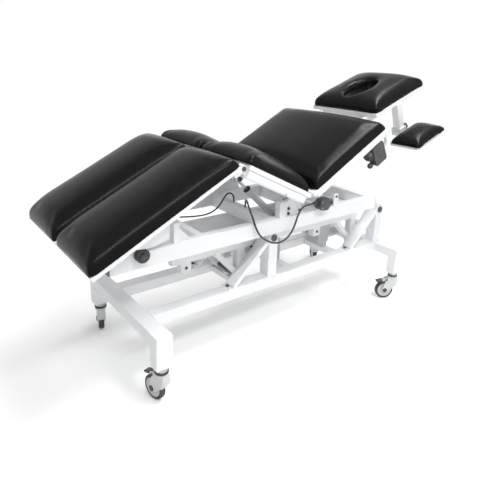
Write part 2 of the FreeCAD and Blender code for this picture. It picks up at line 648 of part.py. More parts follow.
def end_caps():
    """Plastic plugs in the ends of the upper frame's side tubes."""
    solids = []
    for x in (frame_start(), frame_end):
        a, b = (x - 3, x) if x < frame_end else (x, x + 3)
        solids += both_sides(tube(a, b, side_in + 1, side_out - 1, frame_low + 1, frame_top - 1, "x"))
    return Part.makeCompound(solids)


def base_caps():
    """Plugs in the cross beams and the rubber buffer under the lowered frame."""
    solids = [rod_z(22.0, cross_ties[0] + tie_width / 2, 0.0, tie_top, tie_top + 12)]
    half = base_width / 2
    for x0 in (0.0, base_length - cross_beam):
        solids += both_sides(tube(x0 + 1, x0 + cross_beam - 1, half, half + 3, beam_low + 1, beam_top - 1, "y"))
    return Part.makeCompound(solids)


def tower_bolts():
    """Hexagon bolts that hold the towers' base plates."""
    solids = []
    for x, z in pivot_a.values():
        for dx in (-tower_reach - 2, 34.0):
            solids.append(hex_z(x + dx, (long_inner + long_outer) / 2, beam_top + plate_thick, 8.0, 6.0))
    return [s for one in solids for s in both_sides(one)]


def side_bolts():
    solids = []
    for x, z in ((676, 640), (742, 622), (676, 618)):
        solids.append(disc((x, z), 6.0, side_out - 9, side_out - 4))
    for name, dx, depth in (("mid", -283, hanger_out), ("head", -283, hanger_out), ("mid", 66, hanger_out - 12)):
        low = hanger_low - (20 if dx < 0 else 9)
        solids.append(disc((pivot_b(name)[0] + dx, low), 7.0, depth, depth + 1.6))
    return [s for one in solids for s in both_sides(one)]


def hex_z(x, y, z, r, h):
    ring = [V(*polar((x, y), r, 60 * k), z) for k in range(6)]
    return Part.Face(Part.makePolygon(ring + ring[:1])).extrude(V(0, 0, h))


def cord(points, radius):
    """Round cord along straight runs joined by tangent arcs; gives the solid and its arc radii."""
    pts = [V(*p) for p in points]
    pieces, radii, at = [], [], pts[0]
    for a, b, c in zip(pts, pts[1:], pts[2:]):
        u, w = (b - a).normalize(), (c - b).normalize()
        half = u.getAngle(w) / 2
        back = 0.45 * min((b - a).Length, (c - b).Length)
        r = back / math.tan(half)
        radii.append(r)
        start, end = b - u * back, b + w * back
        middle = b + (w - u).normalize() * (r / math.cos(half) - r)
        pieces += [Part.makeLine(at, start), Part.Arc(start, middle, end).toShape()]
        at = end
    pieces.append(Part.makeLine(at, pts[-1]))
    wire = Part.Wire(pieces)
    profile = Part.Wire(Part.makeCircle(radius, pts[0], pts[1] - pts[0]))
    return wire.makePipeShell([profile], True, True), radii, wire.Length


def cables():
    y = -side_out - case_depth / 2
    top = frame_top - cross_drop
    seat = [(606, -30, top), (606, -30, 626), (593, -48, 644), (570, -86, 650), (544, -130, 643), (519, -176, 632),
            (496, -220, 624), (481, -252, 609), (482, -266, 588), (497, -267, 564), (518, -267, 545),
            (545, -267, 527), (574, -267, 514), (604, -267, 508), (634, -267, 511), (660, -267, 525),
            (681, -267, 547), (695, -267, 576), (706, -267, 607), (720, -267, 633), (742, y, 647),
            (gland_from[0], y, gland_from[1]), (gland_at[0], y, gland_at[1])]
    lock = [(606, 56, top), (606, 57, 624), (597, 58, 643), (579, 59, 651), (561, 60, 643), (548, 61, 624),
            (529, 61, 598), (502, 62, 578), (470, 61, 568), (436, 61, 566), (400, 60, 569), (365, 59, 573),
            (330, 58, 579), (297, 58, 584), (inner_cross[0] + cross_width, 58, 584)]
    out = []
    for name, pts, r in (("seat_cable", seat, 4.0), ("frame_cable", lock, 3.5)):
        solid, radii, length = cord(pts, r)
        print(name, "arc radii", [round(v) for v in radii], "length", round(length),
              "volume share", round(solid.Volume / (math.pi * r * r * length), 3))
        out.append(solid)
    return out


def main():
    os.makedirs("parts", exist_ok=True)
    shapes = {"base_frame": base_frame(), "lift_towers": lift_towers(), "tower_pins": tower_pins(),
              "mid_arm": lift_arm("mid"), "head_arm": lift_arm("head"), "frame_pins": frame_pins(),
              "lift_motor": lift_motor(), "lift_rod": lift_rod(), "upper_frame": upper_frame(),
              "hanger_brackets": hanger_brackets(), "frame_uprights": frame_uprights(),
              "frame_axles": frame_axles(), "base_caps": base_caps(), "frame_caps": end_caps(),
              "back_brake": back_brake()}
    shapes["rest_roller_far"] = rest_roller()
    shapes["rest_roller_near"] = other_side(shapes["rest_roller_far"])
    for name, x, y in leg_centres():
        fork, wheel, pedal = castor(castor_turns[name], x, y)
        shapes["castor_fork_" + name], shapes["castor_wheel_" + name] = fork, wheel
        shapes["castor_pedal_" + name] = pedal
    shapes["seat_cylinder"], shapes["seat_rod"] = seat_actuator()
    shapes["frame_control_case"], shapes["frame_control_knob"] = foot_control()
    shapes["seat_cable"], shapes["frame_cable"] = cables()

    y_out, y_in = section_half + 2, split_gap / 2
    seat = {"seat_frame": seat_frame(), "seat_pins": seat_pins(),
            "seat_cushion_near": cushion(ridge_local[0] + 8, -hip_setback, -y_out, -y_in, seat_top)}
    seat["seat_cushion_far"] = other_side(seat["seat_cushion_near"])
    leg = {"leg_frame_near": leg_frame(), "leg_cushion_near": cushion(-leg_length, -8.0, -y_out, -y_in, leg_top)}
    leg["leg_frame_far"] = other_side(leg["leg_frame_near"])
    leg["leg_cushion_far"] = other_side(leg["leg_cushion_near"])
    back = {"back_frame": back_frame(), "back_quadrant": back_quadrant(), "head_brake": head_brake(),
            "back_axles": back_axles(), "back_cushion": cushion(hip_setback, back_length, -y_out, y_out, seat_top)}
    back["head_control_case"], back["head_control_knob"] = head_control()
    back["release_lever"] = release_lever()
    pad = cushion(head_start, head_start + head_length, -head_half, head_half, head_top)
    head = {"head_frame": head_frame(), "head_quadrant": head_quadrant(),
            "head_cushion": pad.cut(face_opening(head_top - 1, cushion_thick + 2))}
    for name, make in (("carrier", armrest_carrier), ("pad", armrest_pad), ("knob", armrest_knob)):
        head["armrest_" + name + "_near"] = make()
        head["armrest_" + name + "_far"] = other_side(head["armrest_" + name + "_near"])
    for group, hinge, pitch in ((seat, hip, seat_pitch), (leg, ridge(), leg_pitch), (back, hip, back_pitch),
                                (head, neck(), head_pitch)):
        for name, shape in group.items():
            shapes[name] = pitched(shape, hinge, pitch)

    for name, shape in shapes.items():
        shape = shape.copy()
        shape.translate(V(move_x, 0, 0))
        shape.exportStep("parts/" + name + ".step")
    print(len(shapes), "nodes")


if __name__ == "__main__":
    main()
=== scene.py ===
from math import atan2, cos, hypot, log, pi, radians, sin

import bmesh
import bpy
from mathutils import Matrix, Vector


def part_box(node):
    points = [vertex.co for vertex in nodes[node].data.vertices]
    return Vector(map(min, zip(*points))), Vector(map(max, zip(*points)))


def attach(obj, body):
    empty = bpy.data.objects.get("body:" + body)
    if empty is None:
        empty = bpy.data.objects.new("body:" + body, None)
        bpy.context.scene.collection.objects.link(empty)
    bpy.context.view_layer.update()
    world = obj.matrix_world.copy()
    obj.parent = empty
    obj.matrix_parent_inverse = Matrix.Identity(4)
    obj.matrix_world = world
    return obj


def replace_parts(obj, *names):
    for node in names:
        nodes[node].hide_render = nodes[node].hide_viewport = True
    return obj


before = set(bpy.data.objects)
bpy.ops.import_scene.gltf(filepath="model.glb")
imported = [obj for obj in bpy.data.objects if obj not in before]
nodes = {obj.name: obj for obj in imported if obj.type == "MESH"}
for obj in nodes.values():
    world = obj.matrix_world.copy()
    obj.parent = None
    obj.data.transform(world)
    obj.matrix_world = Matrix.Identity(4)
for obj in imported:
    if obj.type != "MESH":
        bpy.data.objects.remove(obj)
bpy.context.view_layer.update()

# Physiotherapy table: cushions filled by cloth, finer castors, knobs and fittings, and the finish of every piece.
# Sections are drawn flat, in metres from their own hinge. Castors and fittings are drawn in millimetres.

# The table's hinges and pitches, in metres and degrees, as in the part
foot_beam_x = -0.69718
hip = Vector((0.718 + foot_beam_x, 0, 0.687))
ridge_from_hip, neck_from_hip = Vector((-0.407, 0, 0.0076)), Vector((0.588, 0, 0))
seat_pitch, leg_pitch, back_pitch, head_pitch = -25.67, 27.15, 28.46, 20.2


def place(hinge, pitch):
    """Matrix from a section's own flat frame to the table's."""
    return Matrix.Translation(hinge) @ Matrix.Rotation(radians(-pitch), 4, "Y")


seat_place = place(hip, seat_pitch)
back_place = place(hip, back_pitch)
leg_place = place(seat_place @ ridge_from_hip, leg_pitch)
head_place = place(back_place @ neck_from_hip, head_pitch)

millimetre = Matrix.Diagonal((0.001, 0.001, 0.001, 1))
table = Matrix.Translation((foot_beam_x, 0, 0)) @ millimetre
# a turned piece lies along x; these stand it up, or point it at the far or the near side
upward = Matrix.Rotation(radians(-90), 4, "Y")
to_far, to_near = Matrix.Rotation(radians(90), 4, "Z"), Matrix.Rotation(radians(-90), 4, "Z")


# ---------- shader nodes

def feed(tree, socket, value):
    """Give a socket a number, a colour or the output of another node."""
    if isinstance(value, bpy.types.NodeSocket):
        tree.links.new(value, socket)
    elif isinstance(value, tuple):
        socket.default_value = (*value, 1.0)
    else:
        socket.default_value = value


def noise(tree, coords, scale, detail=3.0, rough=0.5, output="Fac"):
    node = tree.nodes.new("ShaderNodeTexNoise")
    for label, value in (("Vector", coords), ("Scale", scale), ("Detail", detail), ("Roughness", rough)):
        feed(tree, node.inputs[label], value)
    return node.outputs[output]


def math_node(tree, op, a, b):
    node = tree.nodes.new("ShaderNodeMath")
    node.operation = op
    feed(tree, node.inputs[0], a)
    feed(tree, node.inputs[1], b)
    return node.outputs[0]


def mix_colour(tree, share, a, b):
    node = tree.nodes.new("ShaderNodeMix")
    node.data_type = "RGBA"
    for socket, value in ((node.inputs[0], share), (node.inputs[6], a), (node.inputs[7], b)):
        feed(tree, socket, value)
    return node.outputs[2]


def map_range(tree, value, low, high, to_low, to_high):
    node = tree.nodes.new("ShaderNodeMapRange")
    for label, given in (("Value", value), ("From Min", low), ("From Max", high), ("To Min", to_low),
                         ("To Max", to_high)):
        feed(tree, node.inputs[label], given)
    return node.outputs["Result"]


# ---------- shader groups: each puts out a colour, a roughness and a height for the bump

def start_group(name, colour, **numbers):
    """New group with a Colour and further inputs: its tree, Object coordinates, inputs and outputs."""
    tree = bpy.data.node_groups.new(name, "ShaderNodeTree")
    tree.interface.new_socket("Colour", in_out="INPUT", socket_type="NodeSocketColor").default_value = (*colour, 1)
    for label, value in numbers.items():
        tree.interface.new_socket(label, in_out="INPUT", socket_type="NodeSocketFloat").default_value = value
    for label, kind in (("Colour", "NodeSocketColor"), ("Roughness", "NodeSocketFloat"),
                        ("Height", "NodeSocketFloat")):
        tree.interface.new_socket(label, in_out="OUTPUT", socket_type=kind)
    at = tree.nodes.new("ShaderNodeTexCoord").outputs["Object"]
    return tree, at, tree.nodes.new("NodeGroupInput").outputs, tree.nodes.new("NodeGroupOutput").inputs


def end_group(tree, out, colour, roughness, height):
    for label, value in (("Colour", colour), ("Roughness", roughness), ("Height", height)):
        tree.links.new(value, out[label])
    return tree


def make_paint_group():
    """Powder coat: fine orange peel and faint cloudiness."""
    tree, at, given, out = start_group("powder_coat", (0.8, 0.8, 0.8), Peel=900.0)
    cloud = map_range(tree, noise(tree, at, 9.0, 4.0), 0.3, 0.7, 0.0, 0.10)
    return end_group(tree, out, mix_colour(tree, cloud, given["Colour"], (0.42, 0.43, 0.45)),
                     map_range(tree, noise(tree, at, 38.0, 2.0), 0.3, 0.7, 0.30, 0.44),
                     noise(tree, at, given["Peel"], 2.0))


def make_hide_group():
    """Leatherette: cells of fine grain broken by soft creases, with sheen that varies, painted shade darkening the
    valleys between the cells, and lighter worn patches.
    """
    tree, at, given, out = start_group("hide_grain", (0.02, 0.02, 0.02), Grain=420.0)
    shifted = tree.nodes.new("ShaderNodeVectorMath")
    shifted.operation = "MULTIPLY_ADD"
    tree.links.new(noise(tree, at, 60.0, 2.0, output="Color"), shifted.inputs[0])
    shifted.inputs[1].default_value = (0.004, 0.004, 0.004)
    tree.links.new(at, shifted.inputs[2])
    cells = tree.nodes.new("ShaderNodeTexVoronoi")
    cells.feature = "DISTANCE_TO_EDGE"
    tree.links.new(shifted.outputs[0], cells.inputs["Vector"])
    tree.links.new(given["Grain"], cells.inputs["Scale"])
    pebble = map_range(tree, cells.outputs["Distance"], 0.0, 0.22, 0.0, 1.0)
    crease = noise(tree, at, 22.0, 5.0, 0.6)
    height = math_node(tree, "ADD", math_node(tree, "MULTIPLY", pebble, 0.6),
                       math_node(tree, "MULTIPLY", crease, 0.5))
    # painted shade: the colour darkens in the valleys between the grain's cells, where the bump is lowest
    painted_valley_shade = map_range(tree, pebble, 0.0, 1.0, 0.45, 0.0)
    shaded_grain_colour = mix_colour(tree, painted_valley_shade, given["Colour"], (0.003, 0.003, 0.003))
    worn = map_range(tree, crease, 0.35, 0.7, 0.0, 0.2)
    return end_group(tree, out, mix_colour(tree, worn, shaded_grain_colour, (0.012, 0.012, 0.0125)),
                     map_range(tree, crease, 0.3, 0.7, 0.21, 0.29), height)


def make_moulded_group():
    """Moulded plastic and rubber: spark-eroded grain and a little handling shine."""
    tree, at, given, out = start_group("moulded", (0.02, 0.02, 0.02), Low=0.4, High=0.6)
    patch = noise(tree, at, 30.0, 3.0)
    dusty = map_range(tree, patch, 0.3, 0.75, 0.0, 0.22)
    return end_group(tree, out, mix_colour(tree, dusty, given["Colour"], (0.30, 0.30, 0.30)),
                     map_range(tree, patch, 0.3, 0.7, given["Low"], given["High"]),
                     noise(tree, at, 1400.0, 2.0))


def make_steel_group():
    """Turned and drawn steel: fine lines, faint stains."""
    tree, at, given, out = start_group("drawn_steel", (0.6, 0.6, 0.6))
    squeeze = tree.nodes.new("ShaderNodeMapping")
    squeeze.inputs["Scale"].default_value = (1.0, 14.0, 1.0)
    tree.links.new(at, squeeze.inputs["Vector"])
    lines = noise(tree, squeeze.outputs["Vector"], 160.0, 3.0)
    stain = map_range(tree, noise(tree, at, 24.0, 4.0), 0.35, 0.75, 0.0, 0.35)
    return end_group(tree, out, mix_colour(tree, stain, given["Colour"], (0.28, 0.28, 0.29)),
                     map_range(tree, lines, 0.3, 0.7, 0.24, 0.40), lines)


groups = {"coat": make_paint_group(), "hide": make_hide_group(), "moulded": make_moulded_group(),
          "steel": make_steel_group()}


# ---------- materials

def material(name, kind, colour, bump=0.1, distance=0.0002, metallic=0.0, specular=0.5, **values):
    """Principled shader fed by a group; values go to the group's own inputs."""
    m = bpy.data.materials.new(name)
    m.use_nodes = True
    tree = m.node_tree
    shader = tree.nodes["Principled BSDF"]
    g = tree.nodes.new("ShaderNodeGroup")
    g.node_tree = groups[kind]
    g.inputs["Colour"].default_value = (*colour, 1.0)
    for key, value in values.items():
        g.inputs[key].default_value = value
    tree.links.new(g.outputs["Colour"], shader.inputs["Base Color"])
    tree.links.new(g.outputs["Roughness"], shader.inputs["Roughness"])
    relief = tree.nodes.new("ShaderNodeBump")
    relief.inputs["Strength"].default_value = bump
    relief.inputs["Distance"].default_value = distance
    tree.links.new(g.outputs["Height"], relief.inputs["Height"])
    tree.links.new(relief.outputs["Normal"], shader.inputs["Normal"])
    shader.inputs["Metallic"].default_value = metallic
    shader.inputs["Specular IOR Level"].default_value = specular
    m.diffuse_color = (*colour, 1.0)
    return m


white_coat = material("white_powder_coat", "coat", (0.80, 0.812, 0.825), bump=0.08)
light_coat = material("light_grey_coat", "coat", (0.58, 0.60, 0.62), bump=0.08)
hide = material("black_leatherette", "hide", (0.0045, 0.0045, 0.0048), bump=0.14, distance=0.0004, specular=0.09)
castor_plastic = material("castor_grey_plastic", "moulded", (0.58, 0.59, 0.60), Low=0.38, High=0.52)
disc_plastic = material("wheel_disc_plastic", "moulded", (0.50, 0.51, 0.52), Low=0.34, High=0.5)
dark_plastic = material("dark_grey_plastic", "moulded", (0.030, 0.032, 0.036), bump=0.2, Low=0.42, High=0.6)
pedal_plastic = material("pedal_plastic", "moulded", (0.022, 0.023, 0.025), bump=0.2, Low=0.4, High=0.55)
black_plastic = material("black_plastic", "moulded", (0.009, 0.009, 0.009), bump=0.15, Low=0.3, High=0.5)
rubber = material("black_rubber", "moulded", (0.010, 0.010, 0.010), bump=0.25, Low=0.5, High=0.75)
cable_skin = material("cable_skin", "moulded", (0.006, 0.006, 0.006), Low=0.35, High=0.5)
bright_steel = material("bright_steel", "steel", (0.55, 0.55, 0.56), bump=0.05, metallic=1.0)
black_bolt = material("blackened_bolt", "steel", (0.035, 0.035, 0.037), bump=0.08, metallic=0.5)
dull_steel = material("dull_steel", "steel", (0.30, 0.30, 0.31), bump=0.08, metallic=1.0)
cylinder_coat = material("cylinder_grey", "coat", (0.52, 0.53, 0.54), bump=0.06)


# ---------- pieces

def dress(obj, look):
    obj.data.materials.clear()
    obj.data.materials.append(look)


def link(name, data):
    obj = bpy.data.objects.new(name, data)
    bpy.context.scene.collection.objects.link(obj)
    return obj


def mesh_piece(name, bm, move=None, smooth=40.0):
    """Finish a bmesh: merge it, place it, face it outwards and shade it smooth under an angle."""
    bmesh.ops.remove_doubles(bm, verts=bm.verts, dist=1e-6)
    if move is not None:
        bmesh.ops.transform(bm, matrix=move, verts=bm.verts)
    bmesh.ops.recalc_face_normals(bm, faces=bm.faces)
    limit = radians(smooth)
    for e in bm.edges:
        e.smooth = len(e.link_faces) == 2 and e.calc_face_angle(0.0) < limit
    for f in bm.faces:
        f.smooth = True
    me = bpy.data.meshes.new(name)
    bm.to_mesh(me)
    bm.free()
    return link(name, me)


def finish_piece(name, bm, body, look, edge=0.0):
    """Hard piece on a body, its sharp edges rounded if an edge radius is given."""
    obj = mesh_piece(name, bm, smooth=35.0)
    dress(obj, look)
    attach(obj, body)
    if edge:
        bevel = obj.modifiers.new("edge", "BEVEL")
        bevel.width, bevel.segments, bevel.limit_method, bevel.angle_limit = edge, 2, "ANGLE", radians(35)
    return obj


def soften_cad(obj):
    """Worn-in edges on a CAD solid: join its loose triangles, then round every sharp edge a little."""
    weld = obj.modifiers.new("weld", "WELD")
    weld.merge_threshold = 0.00001
    bevel = obj.modifiers.new("edge", "BEVEL")
    bevel.width, bevel.segments, bevel.limit_method, bevel.angle_limit = 0.0012, 2, "ANGLE", radians(35)
    bevel.use_clamp_overlap = True
    bevel.harden_normals = False


def turned(bm, profile, move, steps=48, flutes=0, depth=0.0):
    """Spin a profile of (along, radius) points round the x axis; the widest part is fluted if asked."""
    kept = set(bm.verts)
    line = [bm.verts.new((a, r, 0)) for a, r in profile]
    edges = [bm.edges.new(pair) for pair in zip(line, line[1:])]
    bmesh.ops.spin(bm, geom=line + edges, axis=(1, 0, 0), cent=(0, 0, 0), dvec=(0, 0, 0), angle=2 * pi, steps=steps,
                   use_merge=True, use_duplicate=False)
    fresh = [v for v in bm.verts if v not in kept]
    widest = max(r for a, r in profile)
    for v in fresh:
        r = hypot(v.co.y, v.co.z)
        if flutes and r > 0.8 * widest:
            cut = depth * (0.5 + 0.5 * cos(flutes * atan2(v.co.z, v.co.y))) ** 2
            v.co.y, v.co.z = v.co.y * (1 - cut / r), v.co.z * (1 - cut / r)
    bmesh.ops.transform(bm, matrix=move, verts=fresh)


def slab(bm, outline, y0, y1, move, rounds=1):
    """Flat moulding: an x-z outline, its corners cut back, drawn out between two y."""
    for k in range(rounds):
        loop = []
        for (x, z), (x2, z2) in zip(outline, outline[1:] + outline[:1]):
            loop += [(x * 0.75 + x2 * 0.25, z * 0.75 + z2 * 0.25), (x * 0.25 + x2 * 0.75, z * 0.25 + z2 * 0.75)]
        outline = loop
    face = bm.faces.new([bm.verts.new((x, y0, z)) for x, z in outline])
    out = bmesh.ops.extrude_face_region(bm, geom=[face])
    far = [g for g in out["geom"] if isinstance(g, bmesh.types.BMVert)]
    bmesh.ops.translate(bm, vec=(0, y1 - y0, 0), verts=far)
    bmesh.ops.transform(bm, matrix=move, verts=far + list(face.verts))


# ---------- cushions

side_roll, end_roll = 0.024, 0.030      # how far in from a side or an end the cover rolls off
side_waist, end_waist = 0.005, 0.004    # how far sides and ends pull in half-way between the corners
corner_cut = 0.012
end_slope, wedge_slope = 4.0, 1.25      # steepest fall of an end, and of one that thins to a wedge at the hip
wedge_reach = 0.09                      # an end whose crown falls off over more than this is a wedge
hole_rim, hole_slope = 0.056, 2.4       # cover's height at the face hole's edge, and its fall into the hole


def soft_min(a, b, width):
    """Smaller of two lengths, blended where they are alike."""
    h = max(0.0, min(1.0, 0.5 + 0.5 * (b - a) / width))
    return b * (1 - h) + a * h - width * h * (1 - h)


def steepness(reach):
    """Exponent of a profile that has 0.89 of its height left where its fall-off begins."""
    return log(0.11) / log(1 - reach)


def swell(share, reach):
    """Share of the full height at a share of the way to the edge, for foam that rolls off within its reach."""
    return max(0.0, 1 - abs(share) ** steepness(reach)) ** 0.6


def grid_block(size, height, step):
    """Block with grids on its long faces, fine enough to be shaped."""
    x0, x1, y0, y1, z0 = size
    bm = bmesh.new()
    bmesh.ops.create_cube(bm, size=1.0)
    bmesh.ops.transform(bm, matrix=Matrix.Diagonal((x1 - x0, y1 - y0, height, 1)), verts=bm.verts)
    bmesh.ops.translate(bm, vec=((x0 + x1) / 2, (y0 + y1) / 2, z0 + height / 2), verts=bm.verts)
    for axis, length in ((0, x1 - x0), (1, y1 - y0)):
        edges = [e for e in bm.edges if abs((e.verts[0].co - e.verts[1].co)[axis]) > length * 0.9]
        bmesh.ops.subdivide_edges(bm, edges=edges, cuts=int(length / step), use_grid_fill=True)
    return bm


def cut_hole(bm, hole):
    """Oval hole through a cushion, with its cover drawn down the wall."""
    x, length, width = hole
    inside = [f for f in bm.faces if hypot((f.calc_center_median().x - x) / length,
                                           f.calc_center_median().y / width) < 1]
    bmesh.ops.delete(bm, geom=inside, context="FACES")
    rim = [e for e in bm.edges if e.is_boundary]
    for v in {v for e in rim for v in e.verts}:
        a = atan2(v.co.y / width, (v.co.x - x) / length)
        v.co.x, v.co.y = x + length * cos(a), width * sin(a)
    bmesh.ops.bridge_loops(bm, edges=rim)


def cushion(name, body, node, size, move, full=0.075, edge=0.043, reach=(0.085, 0.085), low=0.010, hole=None,
            step=0.008):
    """Upholstered section before it is filled: flat below, crowned on top, sides falling to a thin edge.

    size is x0, x1, y0, y1 and the board's height; full, edge and low are the cover's heights over it in the middle,
    inside the rolled edge and at the rim; reach is how far the crown falls off towards the -x and the +x end.
    """
    x0, x1, y0, y1, z0 = size
    bm = grid_block(size, full, step)
    cx, cy, ax, ay = (x0 + x1) / 2, (y0 + y1) / 2, (x1 - x0) / 2, (y1 - y0) / 2
    for v in bm.verts:
        u, w = (v.co.x - cx) / ax, (v.co.y - cy) / ay
        if v.co.z > z0 + full * 0.5:
            end = reach[0] if u < 0 else reach[1]
            slope = wedge_slope if end > wedge_reach else end_slope
            roll = swell(u, end_roll / ax) * swell(w, side_roll / ay) * (edge - low)
            dome = (1 - abs(u) ** max(2.0, steepness(end / ax))) * (1 - abs(w) ** 2.4) * (full - edge)
            rise = low + soft_min(roll + dome, ax * (1 - abs(u)) * slope, 0.01)
            if hole:
                beyond = hypot((v.co.x - hole[0]) / hole[1], v.co.y / hole[2]) - 1
                rise = soft_min(rise, hole_rim + max(0.0, beyond) * hole[2] * hole_slope, 0.010)
            v.co.z = z0 + rise
        turned_in = max(0.0, abs(u) ** 8 * abs(w) ** 8 - 0.25) * corner_cut
        v.co.y = cy + w * (ay - side_waist * (1 - u * u) - turned_in)
        v.co.x = cx + u * (ax - end_waist * (1 - w * w) - turned_in)
    if hole:
        cut_hole(bm, hole)
    obj = mesh_piece(name, bm, move, 180)
    dress(obj, hide)
    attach(obj, body)
    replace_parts(obj, node)
    return obj, z0, move.inverted()


def even_mesh(obj, z0, flat, voxel=0.0055):
    """Remesh a cover evenly and mark what is held at its board."""
    remesh = obj.modifiers.new("remesh", "REMESH")
    remesh.mode, remesh.voxel_size, remesh.use_smooth_shade = "VOXEL", voxel, True
    bpy.context.view_layer.update()
    shape = bpy.data.meshes.new_from_object(obj.evaluated_get(bpy.context.evaluated_depsgraph_get()))
    obj.modifiers.clear()
    obj.data = shape
    held = obj.vertex_groups.new(name="held")
    held.add([v.index for v in shape.vertices if (flat @ v.co).z < z0 + 0.004], 1.0, "REPLACE")


def blow_up(covers, cap=0.005, frames=20):
    """Fill the covers with cloth under pressure, all in one run, and keep the result within a cap."""
    scene = bpy.context.scene
    for obj in covers:
        cloth = obj.modifiers.new("cloth", "CLOTH")
        cloth.settings.quality = 4
        cloth.settings.mass = 0.25
        cloth.settings.use_pressure = True
        cloth.settings.uniform_pressure_force = 4.0
        cloth.settings.vertex_group_mass = "held"
        cloth.settings.effector_weights.gravity = 0.0
        cloth.collision_settings.use_collision = False
    for f in range(1, frames + 1):
        scene.frame_set(f)
    deps = bpy.context.evaluated_depsgraph_get()
    shapes = [bpy.data.meshes.new_from_object(obj.evaluated_get(deps)) for obj in covers]
    for obj, shape in zip(covers, shapes):
        for v, before in zip(shape.vertices, obj.data.vertices):
            move_by = v.co - before.co
            if move_by.length > cap:
                v.co = before.co + move_by * (cap / move_by.length)
        obj.modifiers.clear()
        obj.data = shape
    scene.frame_set(1)


def settle(obj, z0, flat, passes=14):
    """Smooth a filled cover over its board and subdivide it."""
    bm = bmesh.new()
    bm.from_mesh(obj.data)
    free = [v for v in bm.verts if (flat @ v.co).z > z0 + 0.002]
    for k in range(passes):
        bmesh.ops.smooth_vert(bm, verts=free, factor=0.5, use_axis_x=True, use_axis_y=True, use_axis_z=True)
    bm.to_mesh(obj.data)
    bm.free()
    rounder = obj.modifiers.new("rounder", "SUBSURF")
    rounder.levels = rounder.render_levels = 1


def cushions():
    half, gap = 0.342, 0.0045           # half the table's width, half the gap between its two rows
    arm_in, arm_out = 0.233, 0.405
    made = []
    for side, y0, y1 in (("near", -half, -gap), ("far", gap, half)):
        made.append(cushion("leg_pad_" + side, "leg_" + side, "leg_cushion_" + side,
                            (-0.640, -0.003, y0, y1, 0.020), leg_place))
        made.append(cushion("seat_pad_" + side, "seat", "seat_cushion_" + side,
                            (-0.4045, -0.033, y0, y1, 0.030), seat_place, reach=(0.060, 0.100)))
    made.append(cushion("back_pad", "back", "back_cushion", (0.033, 0.543, -half, half, 0.030), back_place,
                        full=0.078, reach=(0.100, 0.085)))
    made.append(cushion("head_pad", "head", "head_cushion", (0.026, 0.444, -0.217, 0.217, 0.036), head_place,
                        reach=(0.085, 0.075), hole=(0.186, 0.113, 0.066)))
    for side, y0, y1 in (("near", -arm_out, -arm_in), ("far", arm_in, arm_out)):
        made.append(cushion("arm_pad_" + side, "armrest_" + side, "armrest_pad_" + side,
                            (0.070, 0.314, y0, y1, -0.137), head_place, full=0.043, edge=0.026, reach=(0.06, 0.06),
                            low=0.007, step=0.006))
    for cover in made:
        even_mesh(*cover)
    blow_up([obj for obj, z0, flat in made])
    for cover in made:
        settle(*cover)


cushions()

# ---------- finishes of the CAD pieces

looks = {"tower_pins": black_bolt, "frame_pins": black_bolt, "frame_axles": black_bolt, "seat_pins": black_bolt,
         "back_axles": black_bolt, "lift_rod": bright_steel, "seat_rod": bright_steel, "back_quadrant": dull_steel,
         "head_quadrant": dull_steel, "back_brake": dark_plastic, "head_brake": dark_plastic,
         "seat_cylinder": cylinder_coat, "lift_motor": cylinder_coat, "frame_control_case": dark_plastic,
         "head_control_case": dark_plastic, "frame_control_knob": black_plastic, "head_control_knob": black_plastic,
         "release_lever": black_plastic, "frame_caps": black_plastic}
family_looks = {"castor_fork": castor_plastic, "castor_wheel": rubber, "castor_pedal": pedal_plastic,
                "rest_roller": rubber, "armrest_knob": black_plastic, "armrest_carrier": light_coat}


def finish_cad():
    """Give every CAD piece its look, and the hard ones worn-in edges."""
    for name, obj in nodes.items():
        family = [look for start, look in family_looks.items() if name.startswith(start)]
        dress(obj, family[0] if family else looks.get(name, white_coat))
        if "cushion" not in name and "armrest_pad" not in name and "cable" not in name:
            soften_cad(obj)


finish_cad()


# ---------- castors: the swivel is at x = y = 0, the wheel trails towards +x

trail, wheel_radius, castor_height = 40, 50, 148.4


def castor_shell(name, at):
    """Fork: two cheeks, joined over the wheel by an arched back."""
    bm = bmesh.new()
    cheek = [(-24, 127), (-28, 104), (-22, 82), (-9, 66), (8, 54), (24, 38), (40, 33), (55, 38), (57, 54), (48, 78),
             (42, 98), (34, 116), (24, 127)]
    for y0, y1 in ((-18, -13.6), (13.6, 18)):
        slab(bm, cheek, y0, y1, at)
    arch = wheel_radius + 4
    over_wheel = [(trail + arch * cos(radians(a)), wheel_radius + arch * sin(radians(a)))
                  for a in (163, 148, 133, 118, 103, 90)]
    slab(bm, [(24, 127), (-24, 127), (-28, 104), (-23, 84)] + over_wheel, -14.5, 14.5, at, 0)
    fork = finish_piece("castor_shell_" + name, bm, "castor_" + name, castor_plastic, 0.0018)
    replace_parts(fork, "castor_fork_" + name)


def castor_trim(name, at, axle):
    """Housing under the leg, the dark ring in it, and the caps on the axle and on the fork's bolt."""
    bm = bmesh.new()
    top = at @ upward
    turned(bm, [(121, 0), (121, 23), (127, 25.5), (131, 25.5), (132.5, 23), (133, 0)], top)
    turned(bm, [(141, 0), (141, 22), (147.5, 22), (castor_height, 21), (castor_height, 0)], top)
    finish_piece("castor_housing_" + name, bm, "castor_" + name, castor_plastic)
    bm = bmesh.new()
    turned(bm, [(132.5, 0), (132.5, 24.5), (134, 26.6), (139, 26.8), (141.5, 25), (141.5, 0)], top)
    for side in (-1, 1):
        outward = Matrix.Diagonal((side, 1, 1, 1))
        turned(bm, [(17, 0), (17, 12.5), (19, 12.2), (20.6, 10.5), (20.9, 7), (20.2, 5.5), (20.2, 0)],
               axle @ outward)
        turned(bm, [(17, 0), (17, 5.5), (19, 5.2), (20, 4.2), (20, 0)],
               at @ Matrix.Translation((36, 0, 112)) @ to_far @ outward)
    finish_piece("castor_caps_" + name, bm, "castor_" + name, black_plastic)


